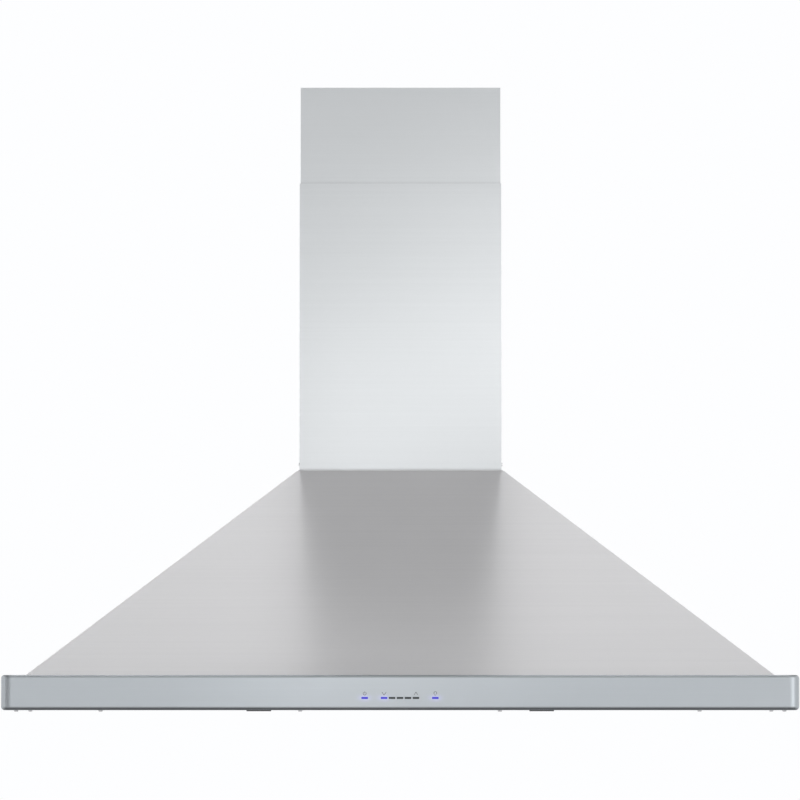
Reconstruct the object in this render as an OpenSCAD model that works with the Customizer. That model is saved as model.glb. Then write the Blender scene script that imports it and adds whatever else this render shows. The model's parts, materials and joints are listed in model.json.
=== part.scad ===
// Wall mount range hood: pyramid canopy, rim band with touch controls and a telescopic duct cover.
// Millimetres. X runs across the hood, its front faces -Y and Z points up.
// The origin lies on the wall plane, in the middle of the four wall fixing holes.

/* [Canopy] */
// Width over the rim band
rim_w = 1216; // [1180:2:1240]
// Depth from the wall to the rim's face
rim_d = 600; // [580:2:640]
// Height of the rim band
rim_h = 53.6; // [50:0.2:60]
// Height of the sloped canopy above the rim
canopy_h = 325.6; // [310:0.2:350]
// Level ledge between the rim's face and the foot of the slope
ledge_w = 36; // [30:1:40]
// Radius of the rim's two upright corners
corner_r = 16; // [12:1:20]
// Radius of the rim's top edge
top_edge_r = 5; // [3:0.5:6]
// Radius of the rim's bottom edge
bottom_edge_r = 6; // [4:0.5:8]
// Flange turned in under the rim
rim_return = 22; // [18:1:26]
// Rise of the liner pan above that flange
pan_rise = 8; // [5:0.5:12]
// Sheet of the canopy, rim and back panel
skin_t = 1.2; // [1:0.1:1.5]
// Flange turned in at the foot of the canopy
foot_flange = 16; // [12:1:20]

/* [Duct cover] */
// Width of the lower duct cover
cover_w = 320; // [310:1:340]
// Depth of the lower duct cover
cover_d = 290; // [284:1:300]
// Length of the lower duct cover
lower_cover_h = 456; // [430:1:500]
// Length of the upper duct cover
upper_cover_h = 460; // [430:1:500]
// Part of the upper cover that shows at rest
upper_show = 153; // [120:1:170]
// Sheet of both duct covers
cover_t = 1; // [0.8:0.1:1.2]
// Running gap between the two covers
cover_gap = 0.3; // [0.2:0.1:0.5]
// Flanges turned in along the wall
cover_return = 20; // [14:1:24]
// Step between the canopy's top edge and the cover
top_ledge = 2.2; // [1.5:0.1:3]
// Sheet of the top plate
plate_t = 1.5; // [1.2:0.1:2]
// Height of the frame that the cover is screwed to
upstand_h = 24; // [20:1:28]
// Foot of that frame on the top plate
upstand_foot = 10; // [8:0.5:10.5]

/* [Wall fixing] */
// Height of the fixing holes' middle above the rim's bottom edge
fixing_z = 185; // [180:1:190]
// Distance across the fixing holes
fixing_w = 460; // [430:1:480]
// Height between the two rows of fixing holes
fixing_h = 150; // [130:1:160]
// Radius of a fixing hole
fixing_r = 4; // [3:0.5:5]
// Height of the ceiling bracket
bracket_h = 26; // [22:1:30]
// Distance across the ceiling bracket's holes
bracket_hole_w = 200; // [160:1:230]
// Radius of the ceiling bracket's holes
bracket_hole_r = 3; // [2.5:0.5:4]

/* [Duct outlet] */
// Outer radius of the duct collar
collar_r = 100; // [96:1:104]
// Sheet of the duct collar
collar_t = 1.2; // [1:0.1:1.5]
// Height of the duct collar
collar_h = 60; // [54:1:70]
// Height of the damper axle above the top plate
axle_z = 22; // [18:1:26]
// Radius of the damper axle
axle_r = 2.5; // [2:0.1:3]
// Sheet of a damper flap
flap_t = 0.8; // [0.6:0.1:1]
// Gap round the rim of the closed flaps
flap_gap = 1.8; // [1.2:0.1:2.5]

/* [Blower] */
// Radius of the blower wheel
wheel_r = 95; // [90:1:97]
// Width of the blower wheel
wheel_w = 156; // [140:2:164]
// Number of blades in the wheel
blade_n = 36; // [28:2:42]
// Depth of a blade from the wheel's rim inwards
blade_d = 16; // [12:1:18]
// Sheet of a blade
blade_t = 0.9; // [0.7:0.1:1.2]
// Gap between the wheel and the scroll at the tongue
scroll_gap = 14; // [11:1:16]
// Growth of the scroll for each quarter turn
scroll_step = 16; // [14:1:17]
// Width inside the scroll
scroll_w = 200; // [190:2:204]
// Sheet of the scroll
scroll_t = 1.2; // [1:0.1:1.5]
// Depth of the scroll's outlet
outlet_d = 124; // [110:1:130]
// Lip of the side plates round the scroll
scroll_lip = 4; // [3:1:6]
// Height of the wheel's axis above the rim's bottom edge
wheel_height = 200; // [192:1:208]
// Throat radius of the two inlet mouths
inlet_r = 74; // [70:1:76]
// Rolled edge of an inlet mouth
mouth_r = 8; // [6:1:9]
// Radius of the motor body
motor_r = 44; // [38:1:46]
// Length of the motor
motor_l = 138; // [120:1:142]
// Length of one end bell of the motor
bell_l = 27; // [22:1:32]
// Radius of the motor shaft
shaft_r = 4; // [3:0.5:5]
// Running gap between the shaft and its bearings
bearing_gap = 0.05; // [0.03:0.01:0.08]
// Radius of the capacitor
capacitor_r = 17.5; // [15:0.5:20]
// Length of the capacitor
capacitor_h = 72; // [60:1:80]

/* [Filters] */
// Width of one baffle filter
filter_w = 430; // [410:1:440]
// Depth of one baffle filter
filter_d = 400; // [380:1:410]
// Height of a filter's frame
filter_h = 22; // [20:1:24]
// Distance from the rim's face to the filters
filter_front = 105; // [100:1:112]
// Gap round a filter
filter_gap = 2; // [1.5:0.1:3]
// Number of lower baffles in a filter
baffle_n = 13; // [11:1:15]
// Sheet of frame and baffles
baffle_t = 1; // [0.8:0.1:1.2]
// Height of one baffle
baffle_h = 11; // [9:0.5:12]
// Lip of the filter's frame
filter_lip = 14; // [11:1:18]
// Width of the front rail that holds the latch
front_rail = 62; // [58:1:68]
// Width of the pull
pull_w = 38; // [30:1:44]
// Drop of the pull below the rim's bottom edge
pull_drop = 1.6; // [1:0.2:6]
// Distance from the filter's front edge to the pull
pull_back = 45; // [40:1:48]
// Travel of the latch
latch_travel = 6; // [4:0.5:7]

/* [Lamps] */
// Number of lamps
lamp_n = 4; // [2:1:4]
// Distance between lamps
lamp_pitch = 280; // [220:1:300]
// Distance from the rim's face to the lamps
lamp_front = 63; // [60:1:64]
// Radius of the lamp's hole
lamp_r = 28; // [24:0.5:29]
// Height of the lamp's heat sink
lamp_body_h = 24; // [18:1:28]

/* [Controls] */
// Number of speed bars
speed_bars = 5; // [3:2:7]
// Distance between speed bars
bar_pitch = 12.1; // [11.5:0.1:13]
// Distance from the middle to the two outer bars
end_bar_x = 53.7; // [50:0.1:60]
// Width of a light bar
bar_w = 10; // [8:0.5:11]
// Height of a light bar
bar_h = 3.2; // [2:0.1:4]
// Height of the light bars above the rim's bottom edge
bar_height = 18.6; // [17:0.1:22]
// Height of the touch symbols above the rim's bottom edge
symbol_height = 26.4; // [26:0.1:30]

/* [Wiring] */
// Width of the wiring box
box_w = 98; // [90:1:102]
// Height of the wiring box
box_h = 80; // [70:1:90]
// Depth of the wiring box
box_d = 64.8; // [56:0.2:72]
// Distance from the top plate down to the wiring box
box_drop = 44; // [36:1:50]
// Width of a flat lead
lead_w = 5; // [4:0.5:5.5]
// Thickness of a flat lead
lead_t = 2.6; // [2:0.2:3]

/* [Hidden] */
$fn = 64;
eps = 0.01;
back_t = skin_t;
fit_gap = 0.3;        // clearance of a piece that seats inside another
screw_gap = 0.1;      // clearance round a screw in its hole
pin_gap = 0.05;       // clearance round an axle or a close fit
pan_t = 1.2;
tab_gap = 0.15;

rim_z0 = -fixing_z;
rim_z1 = rim_z0 + rim_h;
canopy_z1 = rim_z1 + canopy_h;
lower_z1 = canopy_z1 + lower_cover_h;
upper_z1 = lower_z1 + upper_show;
upper_z0 = upper_z1 - upper_cover_h;
half_w = rim_w / 2;
base_x = half_w - ledge_w;
base_y = ledge_w - rim_d;
top_x = cover_w / 2 + top_ledge;
top_y = -cover_d - top_ledge;
side_wall = skin_t * norm([base_x - top_x, canopy_h]) / canopy_h;
front_wall = skin_t * norm([top_y - base_y, canopy_h]) / canopy_h;
duct_y = -cover_d / 2;

pan_seat = rim_z0 + skin_t;
pan_z = pan_seat + pan_rise;
pan_top = pan_z + pan_t;
pan_in = bottom_edge_r + fit_gap;
pan_skirt = rim_return - 2;      // from the outside to the inner face of the pan's skirt
filter_y0 = filter_front - rim_d;
filter_y1 = filter_y0 + filter_d;
opening_y0 = filter_y0 - filter_gap;
opening_y1 = filter_y1 + filter_gap;
divider_w = 5;
divider_gap = 1.5;
filter_x = divider_w / 2 + divider_gap + filter_w / 2;
opening_x = filter_x + filter_w / 2 + filter_gap;
filter_drop = 0.8;
filter_z0 = pan_top - filter_drop;
filter_z1 = filter_z0 + filter_h;

axle_y = duct_y;
damper_z = canopy_z1 + axle_z;
bore_r = collar_r - collar_t;
flap_r = bore_r - flap_gap;

scroll_r0 = wheel_r + scroll_gap - scroll_step / 2;
scroll_u1 = scroll_step / 2 + scroll_r0 + 3 * scroll_step;
scroll_u0 = scroll_u1 - outlet_d;
wheel_y = duct_y - (scroll_u0 + scroll_u1) / 2;
wheel_z = rim_z0 + wheel_height;
outlet_z1 = canopy_z1 - plate_t;
scroll_x = scroll_w / 2 + scroll_t;

collar_flange = 14;
collar_foot = 6;                 // out-turned round the tube's lower end
cable_r = 11;
cable_x = collar_r + collar_flange + cable_r + 7;
cable_y = -38;

upper_step = cover_t + cover_gap;
upper_w = cover_w - 2 * upper_step;
bracket_z1 = upper_z1 - 8;
bracket_z0 = bracket_z1 - bracket_h;
bracket_tab = 34;
frame_x = cover_w / 2 - cover_t - fit_gap;
frame_y = cover_t + fit_gap - cover_d;

collar_screw_r = 2;
cover_screw_r = 1.8;
liner_screw_r = 1.8;
motor_screw_r = 2;
wiring_screw_r = 1.5;

knuckle_l = 22;
knuckle_rear = 62;               // from the middle to the rear flap's knuckles
knuckle_front = 32;
knuckle_t = 1;
hub_r = 10;
hub_l = 26;
hub_gap = 17;                    // from the hub to the motor
motor_x1 = -hub_l / 2 - hub_gap;
motor_x0 = motor_x1 - motor_l;
shaft_x0 = motor_x0 - 6;
bush_r = 9;
bush_l = 10;
bracket_r = inlet_r + mouth_r + 8;
bracket_out = 22;                // from the side plate to the motor's clamp ring
blower_back = wheel_y + scroll_u1 + scroll_t;
blower_z = wheel_z + 40;
blower_half = 60;
blower_tall = 20;
blower_t = 2;
capacitor_x = motor_x0 - 2;
capacitor_y = -back_t - capacitor_r - 2;
capacitor_z = wheel_z - 40;
terminal_h = 7;                  // of the capacitor's two terminals
lens_r = lamp_r - 4;
bezel_h = 6;                     // rise of a bezel's ring through the pan
lamp_y = lamp_front - rim_d;
bar_z = rim_z0 + bar_height;
symbol_z = rim_z0 + symbol_height;
face_y = skin_t - rim_d;
control_end = 23;                // of the housing past the outer bars
control_w = 2 * (end_bar_x + control_end);
control_d = pan_skirt - pan_t - skin_t - 1.5;
control_z0 = rim_z0 + bottom_edge_r + 2;
control_z1 = rim_z1 - top_edge_r - 2;
board_y = face_y + 8;

box_t = 1.2;
box_x0 = cable_x - 34;
box_x1 = box_x0 + box_w;
box_y0 = -back_t - box_d;
box_z1 = canopy_z1 - box_drop;
box_z0 = box_z1 - box_h;
driver_shift = 24;               // of the lamp driver from the cable's middle
driver_lift = 8;
driver_w = 30;
driver_d = 26;
driver_h = 62;
lead_y = opening_y0 - 4.6;
lead_x = opening_x + pan_t + 10;
lead_back = -pan_skirt - 2;

// A block between its lowest and highest corners
module block(low, high) {
    translate(low) cube(high - low);
}

// An outline in Y and Z, drawn out along X
module along_x(x0, x1) {
    translate([x0, 0, 0]) rotate([90, 0, 90]) linear_extrude(x1 - x0) children();
}

// An outline in X and Z, drawn out along Y
module along_y(y0, y1) {
    translate([0, y1, 0]) rotate([90, 0, 0]) linear_extrude(y1 - y0) children();
}

// Copies at both signs of X
module both_sides() {
    children();
    mirror([1, 0, 0]) children();
}

// A rectangle with round corners, between two opposite corners
module round_rect(low, high, r) {
    translate([low.x + r, low.y]) square([high.x - low.x - 2 * r, high.y - low.y]);
    translate([low.x, low.y + r]) square([high.x - low.x, high.y - low.y - 2 * r]);
    for (x = [low.x + r, high.x - r], y = [low.y + r, high.y - r])
        translate([x, y]) circle(r);
}

// A pan-head screw that stands along Z with its head on the plane z = 0
module screw(r, l) {
    translate([0, 0, -l]) cylinder(r = r, h = l);
    cylinder(r1 = 2 * r, r2 = 1.5 * r, h = 1.2 * r);
}

// Half width of the canopy at a height
function side_x(z) = base_x - (base_x - top_x) * (z - rim_z1) / canopy_h;

// Front of the canopy at a height
function front_y(z) = base_y + (top_y - base_y) * (z - rim_z1) / canopy_h;

// A slice of the pyramid, with its side and front faces moved inwards
module pyramid(z0, z1, y1, side_in, front_in) {
    intersection() {
        along_y(-rim_d, y1) polygon([
            [side_in - side_x(z0), z0], [side_x(z0) - side_in, z0],
            [side_x(z1) - side_in, z1], [side_in - side_x(z1), z1]
        ]);
        along_x(-half_w, half_w) polygon([
            [front_y(z0) + front_in, z0], [y1, z0],
            [y1, z1], [front_y(z1) + front_in, z1]
        ]);
    }
}

module canopy_shell() color("gainsboro") {
    difference() {
        pyramid(rim_z1, outlet_z1, -back_t, 0, 0);
        pyramid(rim_z1 + skin_t, outlet_z1 + 1, 1, side_wall, front_wall);
        block([foot_flange - base_x, base_y + foot_flange, rim_z1 - 1],
            [base_x - foot_flange, 1, rim_z1 + 2 * skin_t]);
    }
}

// The rim's sheet in section: X is the distance in from the rim's face
module rim_section() {
    module outline(inset) {
        intersection() {
            union() {
                translate([top_edge_r, rim_z1 - top_edge_r]) circle(top_edge_r - inset);
                translate([bottom_edge_r, rim_z0 + bottom_edge_r]) circle(bottom_edge_r - inset);
                translate([inset, rim_z0 + bottom_edge_r])
                    square([corner_r, rim_h - top_edge_r - bottom_edge_r]);
                translate([top_edge_r, rim_z1 - inset - rim_h / 2]) square([corner_r, rim_h / 2]);
                translate([bottom_edge_r, rim_z0 + inset]) square([corner_r, rim_h / 2]);
            }
            translate([0, rim_z0]) square([corner_r, rim_h]);
        }
    }
    difference() {
        outline(0);
        outline(skin_t);
    }
}

// One level flange of the rim, from its corner radius inwards
module rim_flange(z, inner) {
    difference() {
        block([corner_r - half_w, corner_r - rim_d, z], [half_w - corner_r, -back_t, z + skin_t]);
        block([inner - half_w, inner - rim_d, z - 1], [half_w - inner, 1, z + skin_t + 1]);
    }
}

// Places of the light bars, speeds first
function bar_places() = concat(
    [for (i = [0:speed_bars - 1]) (i - (speed_bars - 1) / 2) * bar_pitch],
    [-end_bar_x, end_bar_x]
);

module rim_band() color("silver") {
    difference() {
        union() {
            along_x(corner_r - half_w, half_w - corner_r)
                translate([-rim_d, 0]) rim_section();
            both_sides() {
                along_y(corner_r - rim_d, -back_t)
                    translate([-half_w, 0]) rim_section();
                translate([half_w - corner_r, corner_r - rim_d, 0])
                    rotate([0, 0, -90]) rotate_extrude(angle = 90)
                        translate([corner_r, 0]) mirror([1, 0]) rim_section();
            }
            rim_flange(rim_z1 - skin_t, ledge_w + foot_flange);
            rim_flange(rim_z0, rim_return);
        }
        for (x = bar_places())
            block([x - bar_w / 2, -rim_d - 1, bar_z - bar_h / 2],
                [x + bar_w / 2, face_y + 1, bar_z + bar_h / 2]);
        liner_screw_places() translate([0, 0, rim_z0 - 1])
            cylinder(r = liner_screw_r + screw_gap, h = skin_t + 2);
    }
}

module back_panel() color("silver") {
    difference() {
        union() {
            along_y(-back_t, 0) polygon([
                [-half_w, rim_z0], [half_w, rim_z0], [half_w, rim_z1], [base_x, rim_z1],
                [side_x(outlet_z1), outlet_z1], [-side_x(outlet_z1), outlet_z1],
                [-base_x, rim_z1], [-half_w, rim_z1]
            ]);
            block([rim_return - half_w, -rim_return, rim_z0], [half_w - rim_return, -back_t, rim_z0 + skin_t]);
        }
        for (x = [-fixing_w / 2, fixing_w / 2], z = [-fixing_h / 2, fixing_h / 2])
            translate([x, 1, z]) rotate([90, 0, 0]) cylinder(r = fixing_r, h = back_t + 2);
        blower_screw_places() translate([0, 0, -blower_t - back_t - 1])
            cylinder(r = motor_screw_r + screw_gap, h = back_t + 2);
    }
}

// Four corners of the collar's square flange
module collar_screw_places() {
    reach = collar_r + collar_flange - 8;
    for (x = [-reach, reach], y = [-reach, reach]) translate([x, duct_y + y, 0]) children();
}

// Two screws in each side of the lower cover, with the head outwards
module cover_screw_places() {
    both_sides() for (y = [-cover_d * 0.8, -cover_d * 0.25])
        translate([cover_w / 2, y, canopy_z1 + upstand_h / 2]) rotate([0, 90, 0]) children();
}

module top_plate() color("silver") {
    difference() {
        block([-top_x, top_y, outlet_z1], [top_x, 0, canopy_z1]);
        translate([0, duct_y, outlet_z1 - 1]) cylinder(r = bore_r, h = plate_t + 2);
        translate([cable_x, cable_y, outlet_z1 - 1]) cylinder(r = cable_r + 2, h = plate_t + 2);
        collar_screw_places() translate([0, 0, outlet_z1 - 1])
            cylinder(r = collar_screw_r + screw_gap, h = plate_t + 2);
    }
}

// The upright frame on three sides of the top plate that the lower cover is screwed to
module cover_frame() color("lightgray") {
    top = canopy_z1 + upstand_h;
    difference() {
        block([-frame_x, frame_y, canopy_z1], [frame_x, -cover_return, top]);
        block([plate_t - frame_x, frame_y + plate_t, canopy_z1 + plate_t], [frame_x - plate_t, 0, top + 1]);
        block([upstand_foot - frame_x, frame_y + upstand_foot, canopy_z1 - 1],
            [frame_x - upstand_foot, 0, canopy_z1 + plate_t + 1]);
        cover_screw_places() translate([0, 0, -12]) cylinder(r = cover_screw_r + screw_gap, h = 14);
    }
}

// Screws that hold the liner pan to the rim's return flange
module liner_screw_places() {
    reach = rim_return * 0.6;
    for (k = [-1.5:1:1.5]) translate([k * rim_w / 4, reach - rim_d, 0]) children();
    both_sides() for (y = [0.25, 0.75]) translate([half_w - reach, -rim_d * y, 0]) children();
}

module lamp_places() {
    for (i = [0:lamp_n - 1])
        translate([(i - (lamp_n - 1) / 2) * lamp_pitch, lamp_y, pan_z]) children();
}

// The pan's foot on the rim's return flange, the skirt that carries its raised middle, and the filters' opening
module liner_pan() color("lightgray") {
    flange_h = filter_h - 2;
    bend_r = 3;
    difference() {
        union() {
            translate([0, 0, pan_seat]) linear_extrude(pan_t)
                round_rect([pan_in - half_w, pan_in - rim_d], [half_w - pan_in, -back_t], corner_r - pan_in);
            translate([0, 0, pan_seat]) linear_extrude(pan_rise + pan_t)
                round_rect([pan_skirt - pan_t - half_w, pan_skirt - pan_t - rim_d],
                    [half_w - pan_skirt + pan_t, pan_t - pan_skirt], bend_r + pan_t);
            both_sides()
                block([opening_x, opening_y0, pan_z], [opening_x + pan_t, opening_y1, pan_top + flange_h]);
        }
        translate([0, 0, pan_seat - 1]) linear_extrude(pan_rise + 1)
            round_rect([pan_skirt - half_w, pan_skirt - rim_d], [half_w - pan_skirt, -pan_skirt], bend_r);
        block([-opening_x, opening_y0, pan_z - 1], [opening_x, opening_y1, pan_top + 1]);
        lamp_places() translate([0, 0, -1]) cylinder(r = lamp_r + fit_gap, h = pan_t + 2);
        liner_screw_places() translate([0, 0, pan_seat - 1])
            cylinder(r = liner_screw_r + screw_gap, h = pan_t + 2);
    }
}

module filter_divider() color("silver") {
    foot = 14;
    web_t = pan_t;
    for (x = [-divider_w / 2, divider_w / 2 - web_t])
        block([x, opening_y0, pan_z], [x + web_t, opening_y1, filter_z1 + 4]);
    block([-divider_w / 2, opening_y0 - foot, filter_z1 + 4],
        [divider_w / 2, opening_y1 + foot, filter_z1 + 4 + web_t]);
    for (y = [opening_y0 - foot, opening_y1 + foot - web_t])
        block([-divider_w / 2, y, pan_top], [divider_w / 2, y + web_t, filter_z1 + 4]);
    for (y = [opening_y0 - 2 * foot, opening_y1 + foot])
        block([-foot, y, pan_top], [foot, y + foot, pan_top + web_t]);
}

// A duct cover in plan: open towards the wall, with a flange turned in at each end
module cover_plan(w, front, back, inner_return) {
    difference() {
        translate([-w / 2, front]) square([w, back - front]);
        translate([cover_t - w / 2, front + cover_t]) square([w - 2 * cover_t, back - front - 2 * cover_t]);
        translate([inner_return - w / 2, front + 2 * cover_t]) square([w - 2 * inner_return, back - front]);
    }
}

module lower_duct_cover() color("gainsboro") {
    difference() {
        translate([0, 0, canopy_z1]) linear_extrude(lower_cover_h)
            cover_plan(cover_w, -cover_d, 0, cover_return);
        cover_screw_places() translate([0, 0, -12]) cylinder(r = cover_screw_r + screw_gap, h = 14);
    }
}

// One screw in each side of the upper cover, into the ceiling bracket's tab
module bracket_screw_places() {
    both_sides() translate([upper_w / 2, -bracket_tab * 0.7, (bracket_z0 + bracket_z1) / 2])
        rotate([0, 90, 0]) children();
}

module upper_duct_cover() color("silver") {
    difference() {
        translate([0, 0, upper_z0]) linear_extrude(upper_cover_h)
            cover_plan(upper_w, upper_step - cover_d, -upper_step, cover_return);
        block([cover_t - upper_w / 2, -upper_step - 4 * cover_t, bracket_z0 - 2],
            [upper_w / 2 - cover_t, 1, upper_z1 + 1]);
        bracket_screw_places() translate([0, 0, -12]) cylinder(r = cover_screw_r + screw_gap, h = 14);
    }
}

module ceiling_bracket() color("silver") {
    reach = upper_w / 2 - cover_t - fit_gap;
    difference() {
        union() {
            block([-reach, -plate_t, bracket_z0], [reach, 0, bracket_z1]);
            both_sides() block([reach - plate_t, -bracket_tab, bracket_z0], [reach, 0, bracket_z1]);
        }
        for (x = [-bracket_hole_w / 2, bracket_hole_w / 2])
            translate([x, 1, (bracket_z0 + bracket_z1) / 2])
                rotate([90, 0, 0]) cylinder(r = bracket_hole_r, h = plate_t + 2);
        bracket_screw_places() translate([0, 0, -12]) cylinder(r = cover_screw_r + screw_gap, h = 14);
    }
}

// The collar's tube on its out-turned foot, with four stops that the closed flaps lie on
module duct_collar() color("lightgray") {
    stop = 7;
    difference() {
        translate([0, duct_y, canopy_z1 + collar_t]) {
            cylinder(r = collar_r, h = collar_h - collar_t);
            cylinder(r = collar_r + collar_foot, h = collar_t);
        }
        difference() {
            translate([0, duct_y, canopy_z1 - 1]) cylinder(r = bore_r, h = collar_h + 2);
            for (a = [75, 105, 255, 285]) translate([0, duct_y, 0]) rotate([0, 0, a])
                block([bore_r - stop, -stop / 2, damper_z - flap_t / 2 - fit_gap - collar_t],
                    [collar_r, stop / 2, damper_z - flap_t / 2 - fit_gap]);
        }
        translate([-collar_r - 1, axle_y, damper_z]) rotate([0, 90, 0])
            cylinder(r = axle_r + pin_gap, h = 2 * collar_r + 2);
    }
}

module collar_flange() color("silver") {
    reach = collar_r + collar_flange;
    difference() {
        block([-reach, duct_y - reach, canopy_z1], [reach, duct_y + reach, canopy_z1 + collar_t]);
        translate([0, duct_y, canopy_z1 - 1]) cylinder(r = bore_r, h = collar_t + 2);
        collar_screw_places() translate([0, 0, canopy_z1 - 1])
            cylinder(r = collar_screw_r + screw_gap, h = collar_t + 2);
    }
}

module damper_axle() color("silver") {
    translate([0.4 - collar_r, axle_y, damper_z]) rotate([0, 90, 0])
        cylinder(r = axle_r, h = 2 * collar_r - 0.8);
}

// Half of the damper disc, on the side of +Y of its axle, with its knuckles at the given places
module damper_half(places) {
    knuckle_r = axle_r + pin_gap + knuckle_t;
    plate_y = knuckle_r + 0.6;
    difference() {
        union() {
            intersection() {
                cylinder(r = flap_r, h = flap_t, center = true);
                translate([-flap_r, plate_y, -1]) cube([2 * flap_r, flap_r, 2]);
            }
            for (x = places) {
                translate([x - knuckle_l / 2, 0, 0]) rotate([0, 90, 0]) cylinder(r = knuckle_r, h = knuckle_l);
                translate([x - knuckle_l / 2, 0, -flap_t / 2]) cube([knuckle_l, plate_y + 1, flap_t]);
            }
            translate([-flap_r / 3, flap_r * 0.5, flap_t / 2]) cube([flap_r * 2 / 3, 2, 2]);
        }
        translate([-collar_r, 0, 0]) rotate([0, 90, 0]) cylinder(r = axle_r + pin_gap, h = 2 * collar_r);
    }
}

module damper_flap_rear() color("silver") {
    translate([0, axle_y, damper_z]) damper_half([-knuckle_rear, knuckle_rear]);
}

module damper_flap_front() color("silver") {
    translate([0, axle_y, damper_z]) rotate([0, 0, 180]) damper_half([-knuckle_front, knuckle_front]);
}

// The scroll's outline grows by four arcs about the corners of a small square, then runs up to the outlet.
// Its X is the row's Y and its Y is the row's Z, both from the wheel's axis.
module scroll_outline(grow) {
    c = scroll_step / 2;
    top = outlet_z1 - wheel_z;
    for (q = [[90, -c, -c, 1], [180, c, -c, 2], [270, c, c, 3]])
        translate([q[1], q[2]]) intersection() {
            circle(scroll_r0 + q[3] * scroll_step + grow, $fn = 128);
            rotate(q[0]) square(2 * wheel_r);
        }
    translate([-c, -c]) square(2 * c);
    translate([-c, c]) intersection() {
        circle(scroll_r0 + grow, $fn = 128);
        square(2 * wheel_r);
    }
    translate([scroll_u0 - grow, 0]) square([outlet_d + 2 * grow, top]);
}

module blower_wrapper() color("silver") {
    lip = 12;
    translate([0, wheel_y, wheel_z]) difference() {
        union() {
            along_x(-scroll_w / 2, scroll_w / 2) scroll_outline(scroll_t);
            block([-scroll_x - lip, scroll_u0 - lip, outlet_z1 - wheel_z - scroll_t],
                [scroll_x + lip, scroll_u1 + lip, outlet_z1 - wheel_z]);
        }
        along_x(-scroll_w / 2 - 1, scroll_w / 2 + 1) scroll_outline(0);
        block([-scroll_w / 2, scroll_u0, outlet_z1 - wheel_z - 2 * scroll_t],
            [scroll_w / 2, scroll_u1, outlet_z1 - wheel_z + 1]);
    }
}

// A side plate of the scroll, drawn for the side of +X
module blower_side() {
    translate([0, wheel_y, wheel_z]) {
        difference() {
            along_x(scroll_w / 2, scroll_x) intersection() {
                scroll_outline(scroll_t + scroll_lip);
                translate([-rim_d, -rim_d]) square([2 * rim_d, rim_d + outlet_z1 - wheel_z - scroll_t]);
            }
            translate([scroll_w / 2 - 1, 0, 0]) rotate([0, 90, 0])
                cylinder(r = inlet_r + mouth_r, h = scroll_t + 2);
        }
        translate([scroll_x, 0, 0]) rotate([0, -90, 0]) rotate_extrude() intersection() {
            translate([inlet_r + mouth_r, mouth_r]) difference() {
                circle(mouth_r + eps);
                circle(mouth_r - scroll_t);
            }
            translate([inlet_r - 1, 0]) square([mouth_r + 1, mouth_r]);
        }
    }
}

module blower_side_right() color("lightgray") blower_side();

module blower_side_left() color("lightgray") mirror([1, 0, 0]) blower_side();

// Two screws of the blower's bracket in the back panel, along Y with their heads on the bracket
module blower_screw_places() {
    both_sides() translate([blower_half * 0.6, -back_t - blower_t, blower_z + blower_tall * 0.55])
        rotate([90, 0, 0]) children();
}

module blower_bracket() color("silver") {
    difference() {
        union() {
            block([-blower_half, blower_back, blower_z], [blower_half, -back_t, blower_z + blower_t]);
            for (y = [blower_back, -back_t - blower_t])
                block([-blower_half, y, blower_z], [blower_half, y + blower_t, blower_z + blower_tall]);
            for (x = [-blower_half, blower_half - blower_t])
                block([x, blower_back, blower_z], [x + blower_t, -back_t, blower_z + blower_tall]);
        }
        blower_screw_places() translate([0, 0, -blower_t - 1])
            cylinder(r = motor_screw_r + screw_gap, h = blower_t + 2);
    }
}

module blower_screws() color("gray") {
    blower_screw_places() screw(motor_screw_r, blower_t + back_t - fit_gap);
}

// One curved blade of the wheel in section
module blade() {
    bend_r = blade_d * 0.62;
    mid = wheel_r - blade_d / 2;
    translate([mid, 0]) intersection() {
        difference() {
            translate([0, -bend_r * 0.7]) circle(bend_r + blade_t / 2, $fn = 48);
            translate([0, -bend_r * 0.7]) circle(bend_r - blade_t / 2, $fn = 48);
        }
        translate([-blade_d / 2 + 0.4, 0]) square([blade_d - 0.8, blade_d]);
    }
}

module impeller() color("darkgray") {
    ring_w = 7;
    translate([0, wheel_y, wheel_z]) rotate([0, 90, 0]) {
        translate([0, 0, -wheel_w / 2]) linear_extrude(wheel_w)
            for (i = [0:blade_n - 1]) rotate(i * 360 / blade_n) blade();
        for (z = [-wheel_w / 2, wheel_w / 2 - 2]) translate([0, 0, z]) difference() {
            cylinder(r = wheel_r, h = 2);
            translate([0, 0, -1]) cylinder(r = wheel_r - ring_w, h = 4);
        }
        difference() {
            translate([0, 0, -0.8]) cylinder(r = wheel_r, h = 1.6);
            translate([0, 0, -2]) cylinder(r = hub_r, h = 4);
            for (a = [0:60:300]) rotate(a) translate([wheel_r * 0.5, 0, -2]) cylinder(r = 12, h = 4);
        }
    }
}

module impeller_hub() color("dimgray") {
    translate([0, wheel_y, wheel_z]) rotate([0, 90, 0]) difference() {
        union() {
            translate([0, 0, -hub_l / 2]) cylinder(r = hub_r, h = hub_l);
            translate([0, 0, 0.8]) cylinder(r = hub_r + 8, h = 2.4);
        }
        translate([0, 0, -hub_l]) cylinder(r = shaft_r, h = 2 * hub_l);
    }
}

module motor_shaft() color("lightgray") {
    translate([shaft_x0, wheel_y, wheel_z]) rotate([0, 90, 0])
        cylinder(r = shaft_r, h = hub_l / 2 + 3 - shaft_x0);
}

// The motor's wound core between its two end bells
module motor_body() color("dimgray") {
    groove = 1.5;
    core_l = motor_l - 2 * bell_l;
    translate([motor_x0 + bell_l, wheel_y, wheel_z]) rotate([0, 90, 0]) difference() {
        cylinder(r = motor_r, h = core_l);
        translate([0, 0, -1]) cylinder(r = shaft_r + 1, h = core_l + 2);
        for (z = [6, core_l - 6 - groove]) translate([0, 0, z]) difference() {
            cylinder(r = motor_r + 1, h = groove);
            translate([0, 0, -1]) cylinder(r = motor_r - 1, h = groove + 2);
        }
    }
}

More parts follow.
